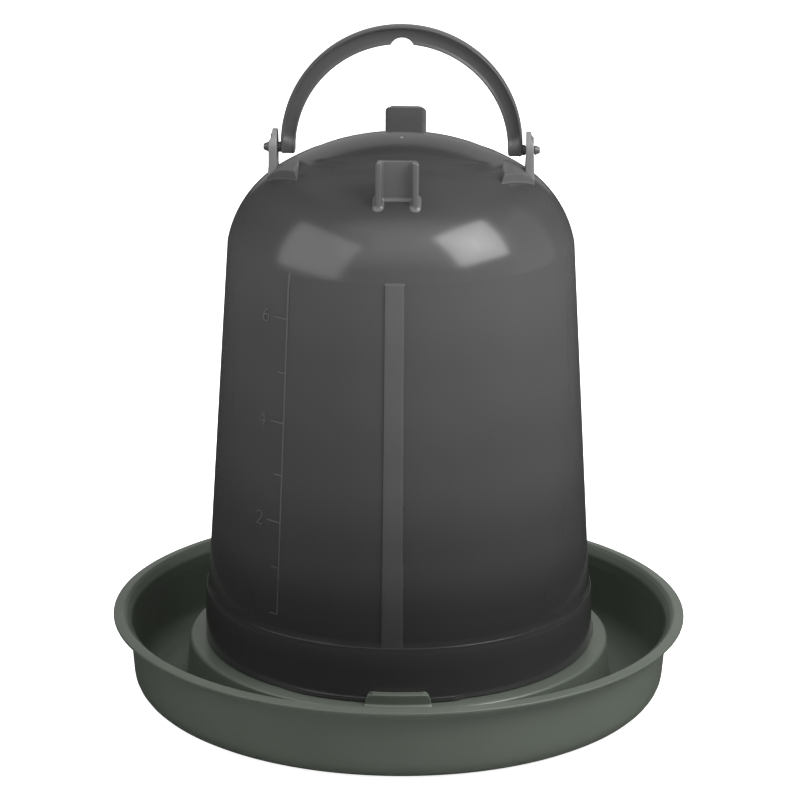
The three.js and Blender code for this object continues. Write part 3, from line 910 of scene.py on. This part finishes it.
# ---- Materials ----
def plastic(name, colour, roughness, grain, painted_height_shade=None, painted_top_light=0.0):
    """Moulded plastic: slight tone changes, uneven gloss, a fine grain and faint flow marks.

    painted_height_shade is painted light and shade set by height, in pairs of millimetres and grey;
    painted_top_light is painted light that lightens the faces that look up.
    """
    material = bpy.data.materials.new(name)
    material.use_nodes = True
    nodes, links = material.node_tree.nodes, material.node_tree.links
    shader = nodes["Principled BSDF"]
    shader.inputs["IOR"].default_value = 1.5
    place = nodes.new("ShaderNodeTexCoord")

    def noise(scale, detail, stretch=(1, 1, 1)):
        mapping = nodes.new("ShaderNodeMapping")
        mapping.inputs["Scale"].default_value = stretch
        texture = nodes.new("ShaderNodeTexNoise")
        texture.inputs["Scale"].default_value = scale
        texture.inputs["Detail"].default_value = detail
        links.new(place.outputs["Object"], mapping.inputs["Vector"])
        links.new(mapping.outputs["Vector"], texture.inputs["Vector"])
        return texture.outputs["Fac"]

    def ranged(value, low, high, from_low=0.3, from_high=0.7):
        node = nodes.new("ShaderNodeMapRange")
        node.inputs["From Min"].default_value = from_low
        node.inputs["From Max"].default_value = from_high
        node.inputs["To Min"].default_value = low
        node.inputs["To Max"].default_value = high
        links.new(value, node.inputs["Value"])
        return node.outputs["Result"]

    ramp = nodes.new("ShaderNodeValToRGB")
    ramp.color_ramp.elements[0].position = 0.3
    ramp.color_ramp.elements[1].position = 0.7
    ramp.color_ramp.elements[0].color = (*[c * 0.94 for c in colour], 1)
    ramp.color_ramp.elements[1].color = (*[c * 1.06 for c in colour], 1)
    links.new(noise(9.0, 4.0, (1, 1, 0.5)), ramp.inputs["Fac"])
    tone = ramp.outputs["Color"]
    # Painted light and shade: the colour is multiplied by a grey that changes with height.
    if painted_height_shade:
        split = nodes.new("ShaderNodeSeparateXYZ")
        links.new(place.outputs["Object"], split.inputs["Vector"])
        heights = nodes.new("ShaderNodeValToRGB")
        heights.color_ramp.interpolation = "EASE"
        low, high = painted_height_shade[0][0], painted_height_shade[-1][0]
        scaled = ranged(split.outputs["Z"], 0.0, 1.0, low * MM, high * MM)
        for k, (z, grey) in enumerate(painted_height_shade):
            at = (z - low) / (high - low)
            element = heights.color_ramp.elements[k] if k < 2 else heights.color_ramp.elements.new(at)
            element.position = at
            element.color = (grey, grey, grey, 1)
        links.new(scaled, heights.inputs["Fac"])
        mix = nodes.new("ShaderNodeMix")
        mix.data_type = "RGBA"
        mix.blend_type = "MULTIPLY"
        mix.inputs["Factor"].default_value = 1.0
        links.new(tone, mix.inputs["A"])
        links.new(heights.outputs["Color"], mix.inputs["B"])
        tone = mix.outputs["Result"]
    # Painted light: faces that look up are mixed towards a light grey.
    if painted_top_light:
        facing = nodes.new("ShaderNodeSeparateXYZ")
        surface = nodes.new("ShaderNodeNewGeometry")
        links.new(surface.outputs["Normal"], facing.inputs["Vector"])
        top_light_mix = nodes.new("ShaderNodeMix")
        top_light_mix.data_type = "RGBA"
        links.new(ranged(facing.outputs["Z"], 0.0, painted_top_light, 0.5, 1.0), top_light_mix.inputs["Factor"])
        links.new(tone, top_light_mix.inputs["A"])
        top_light_mix.inputs["B"].default_value = (0.30, 0.30, 0.29, 1)
        tone = top_light_mix.outputs["Result"]
    links.new(tone, shader.inputs["Base Color"])
    links.new(ranged(noise(26.0, 6.0), roughness * 0.85, roughness * 1.2), shader.inputs["Roughness"])
    fine = nodes.new("ShaderNodeBump")
    fine.inputs["Strength"].default_value = grain
    fine.inputs["Distance"].default_value = 0.00003
    links.new(noise(1400.0, 3.0), fine.inputs["Height"])
    flow = nodes.new("ShaderNodeBump")
    flow.inputs["Strength"].default_value = 0.25
    flow.inputs["Distance"].default_value = 0.0002
    links.new(noise(14.0, 2.0, (1, 1, 0.35)), flow.inputs["Height"])
    links.new(fine.outputs["Normal"], flow.inputs["Normal"])
    links.new(flow.outputs["Normal"], shader.inputs["Normal"])
    return material


# ---- The object ----
# The tray's faces that look up get painted light.
tray_plastic = plastic("tray_moulding", (0.078, 0.092, 0.074), 0.34, 0.3, painted_top_light=0.05)
# The fount's colour carries painted shade by height: dark at the band and the crown, lighter up the side.
shell_plastic = plastic(
    "fount_moulding", (0.096, 0.096, 0.096), 0.17, 0.0,
    painted_height_shade=[(31, 0.32), (60, 0.30), (66, 0.22), (80, 0.23), (113, 0.36), (165, 0.53), (218, 0.65), (268, 0.77),
          (300, 0.60), (318, 0.46), (335, 0.36)],
)
# The marks are a lighter copy of the fount's plastic: a painted highlight on the raised lines, with the same
# painted shade by height.
mark_plastic = plastic(
    "fount_marks", (0.15, 0.15, 0.15), 0.3, 0.02,
    painted_height_shade=[(31, 0.28), (80, 0.30), (165, 0.57), (218, 0.66), (268, 0.75), (335, 0.75)],
)
# The strip's colour also carries painted shade by height.
strip_plastic = plastic(
    "fount_strip", (0.12, 0.12, 0.12), 0.22, 0.06,
    painted_height_shade=[(31, 0.28), (66, 0.28), (80, 0.30), (113, 0.42), (165, 0.57), (218, 0.70), (268, 0.83),
          (335, 0.84)],
)
pad_plastic = plastic("fount_pads", (0.085, 0.085, 0.085), 0.36, 0.15)
# A lighter copy of the fount's plastic for the thin lugs: painted light shining through them.
thin_plastic = plastic("fount_thin_parts", (0.108, 0.108, 0.108), 0.24, 0.2)
# A lighter copy again for the thin ears: painted light shining through them.
ear_plastic = plastic("fount_ears", (0.20, 0.20, 0.20), 0.28, 0.2)
handle_plastic = plastic("handle_moulding", (0.082, 0.082, 0.082), 0.36, 0.3)

piece("tray", tray_pan(), "tray", ["tray_pan"], tray_plastic)
for place, bearing in TAB_BEARINGS.items():
    piece("tab_" + place, lock_tab(bearing), "tray", ["lock_tab_" + place], tray_plastic)


def fount_piece(name, shape, nodes, material=shell_plastic):
    return piece(name, shape, "fount", nodes, material, FOUNT_TURN)


def handle_piece(name, shape, nodes):
    return piece(name, shape, "handle", nodes, handle_plastic, FOUNT_TURN)


def is_strip(place):
    """Whether a place on the shell, in millimetres, is on the raised strip."""
    bearing = math.atan2(place.x, -place.y) - FOUNT_TURN
    return (
        abs(bearing) < math.radians(STRIP_HALF_ANGLE + 0.2)
        and BAND_TOP + 0.9 < place.z < STRIP_TOP + 0.4
        and math.hypot(place.x, place.y) > side_radius(place.z) + STRIP_PROUD / 3
    )


shell = fount_piece("shell", fount_shell(), ["fount_shell"])
cut(shell, outlet_cutter(), FOUNT_TURN)
shell.data.materials.append(strip_plastic)
for face in shell.data.polygons:
    if is_strip(face.center / MM):
        face.material_index = 1
for place, bearing in TAB_BEARINGS.items():
    fount_piece("flange_" + place, bayonet_flange(bearing), ["bayonet_flange_" + place])
fount_piece("scale_marks", level_scale(), [], mark_plastic)
# The gate mark takes the ears' lighter plastic: a painted highlight on the stub.
fount_piece("gate_mark", gate_mark(), [], ear_plastic)
fount_piece("lug_front", foot_lug(0, lug_top, 1.6, LUG_BACK), ["foot_lug_front"], thin_plastic)
fount_piece("lug_rear", foot_lug(180, rear_lug_top, 2.6, REAR_LUG_BACK), ["foot_lug_rear"], thin_plastic)
SIDES = ((1, "right"), (-1, "left"))
for side, place in SIDES:
    fount_piece("pad_" + place, ear_pad(side), [], pad_plastic)
    fount_piece("ear_" + place, handle_ear(side), ["handle_ear_" + place], ear_plastic)

bow = handle_piece("bow", handle_bow(), ["handle_bow"])
cut(bow, notch_cutter(), FOUNT_TURN)
for side, place in SIDES:
    handle_piece("pin_" + place, handle_pin(side), ["handle_pin_" + place])


# ---- Studio ----
def area_light(name, bearing, elevation, distance, width, height, radiance, seen_by):
    """A softbox that faces the drinker from a bearing and an elevation; radiance is its brightness."""
    b, e = math.radians(bearing), math.radians(elevation)
    away = Vector((math.sin(b) * math.cos(e), -math.cos(b) * math.cos(e), math.sin(e)))
    data = bpy.data.lights.new(name, "AREA")
    data.shape = "RECTANGLE"
    data.size = width
    data.size_y = height
    data.energy = radiance * math.pi * width * height
    light = linked(name, data)
    light.location = LIGHT_TARGET + away * distance
    light.rotation_mode = "QUATERNION"
    light.rotation_quaternion = away.to_track_quat("Z", "Y")
    light.visible_camera = False
    light.visible_diffuse = seen_by == "diffuse"
    light.visible_glossy = seen_by == "glossy"


def camera_only(tree, low, high):
    """A value that is high where the camera looks straight at the surface, and low for all other light."""
    value = tree.nodes.new("ShaderNodeMapRange")
    value.inputs["To Min"].default_value = low
    value.inputs["To Max"].default_value = high
    rays = tree.nodes.new("ShaderNodeLightPath")
    tree.links.new(rays.outputs["Is Camera Ray"], value.inputs["Value"])
    return value.outputs["Result"]


LIGHT_TARGET = Vector((0, 0, 0.25))
# Name, bearing, elevation, distance, width, height, radiance, and the kind of reflection it makes
LIGHTS = [
    ("key_box", 58.8, 39, 1.6, 1.07, 1.0, 6.2, "glossy"),
    ("key_glow", 58.8, 39, 1.59, 0.6, 0.55, 1.4, "glossy"),
    ("key_tube", 58.8, 38.5, 1.58, 0.05, 0.26, 5.0, "glossy"),
    ("fill_box", -63, 28, 1.6, 1.43, 1.13, 2.0, "glossy"),
    ("front_panel", 0, 52, 2.2, 3.4, 2.2, 0.45, "glossy"),
    ("front_panel_middle", 0, 52, 2.15, 2.3, 1.5, 0.45, "glossy"),
    ("front_panel_core", 0, 52, 2.1, 1.2, 0.8, 0.45, "glossy"),
    ("back_panel", 180, 14, 2.4, 1.7, 1.3, 0.35, "glossy"),
    ("back_top_panel", 180, 60, 2.2, 2.4, 1.6, 0.15, "glossy"),
    ("right_panel", 100, 20, 2.2, 1.6, 1.6, 0.3, "glossy"),
    ("key_soft", 50, 38, 1.9, 0.8, 0.8, 9.0, "diffuse"),
    ("right_soft", 85, 30, 2.4, 2.0, 2.0, 4.0, "diffuse"),
    ("left_soft", -85, 30, 2.4, 2.0, 2.0, 1.55, "diffuse"),
    ("front_soft", -10, 32, 2.4, 1.5, 1.2, 2.3, "diffuse"),
    ("overhead", 0, 80, 1.8, 2.4, 2.4, 1.5, "diffuse"),
    ("back_soft", 180, 45, 2.2, 2.4, 2.0, 1.2, "diffuse"),
]
WORLD_STRENGTH = 0.035
FLOOR_STRENGTH = 0.9
FLOOR_HALF_SIZE = 6.0
FLOOR_HEIGHT = -0.0004
for light in LIGHTS:
    area_light(*light)

world = bpy.data.worlds.new("studio")
bpy.context.scene.world = world
world.use_nodes = True
background = world.node_tree.nodes["Background"]
background.inputs["Color"].default_value = (1, 1, 1, 1)
backdrop = camera_only(world.node_tree, WORLD_STRENGTH, 1.0)
world.node_tree.links.new(backdrop, background.inputs["Strength"])

floor_material = bpy.data.materials.new("floor")
floor_material.use_nodes = True
floor_tree = floor_material.node_tree
floor_shader = floor_tree.nodes["Principled BSDF"]
floor_shader.inputs["Base Color"].default_value = (0.9, 0.9, 0.9, 1)
floor_shader.inputs["Roughness"].default_value = 0.9
floor_shader.inputs["Emission Color"].default_value = (1, 1, 1, 1)
floor_tree.links.new(camera_only(floor_tree, 0.0, FLOOR_STRENGTH), floor_shader.inputs["Emission Strength"])
corners = [
    (x * FLOOR_HALF_SIZE, y * FLOOR_HALF_SIZE, FLOOR_HEIGHT) for x, y in ((-1, -1), (1, -1), (1, 1), (-1, 1))
]
floor_mesh = bpy.data.meshes.new("floor")
floor_mesh.from_pydata(corners, [], [(0, 1, 2, 3)])
floor_mesh.materials.append(floor_material)
floor = linked("floor", floor_mesh)
floor.visible_glossy = False

# ---- Camera ----
CAMERA_PLACE = (0, -1.9937, 0.7893)
CAMERA_PITCH = math.radians(17.10)
CAMERA_ROLL = math.radians(0.36)
CAMERA_LENS = 159.83
CAMERA_SENSOR = 36

camera_data = bpy.data.cameras.new("camera")
camera_data.lens = CAMERA_LENS
camera_data.sensor_width = CAMERA_SENSOR
camera = linked("camera", camera_data)
camera.location = CAMERA_PLACE
camera.rotation_mode = "QUATERNION"
forward = Vector((0, math.cos(CAMERA_PITCH), -math.sin(CAMERA_PITCH)))
camera.rotation_quaternion = forward.to_track_quat("-Z", "Y") @ Quaternion((0, 0, 1), CAMERA_ROLL)
bpy.context.scene.camera = camera
bpy.context.scene.view_settings.view_transform = "Standard"
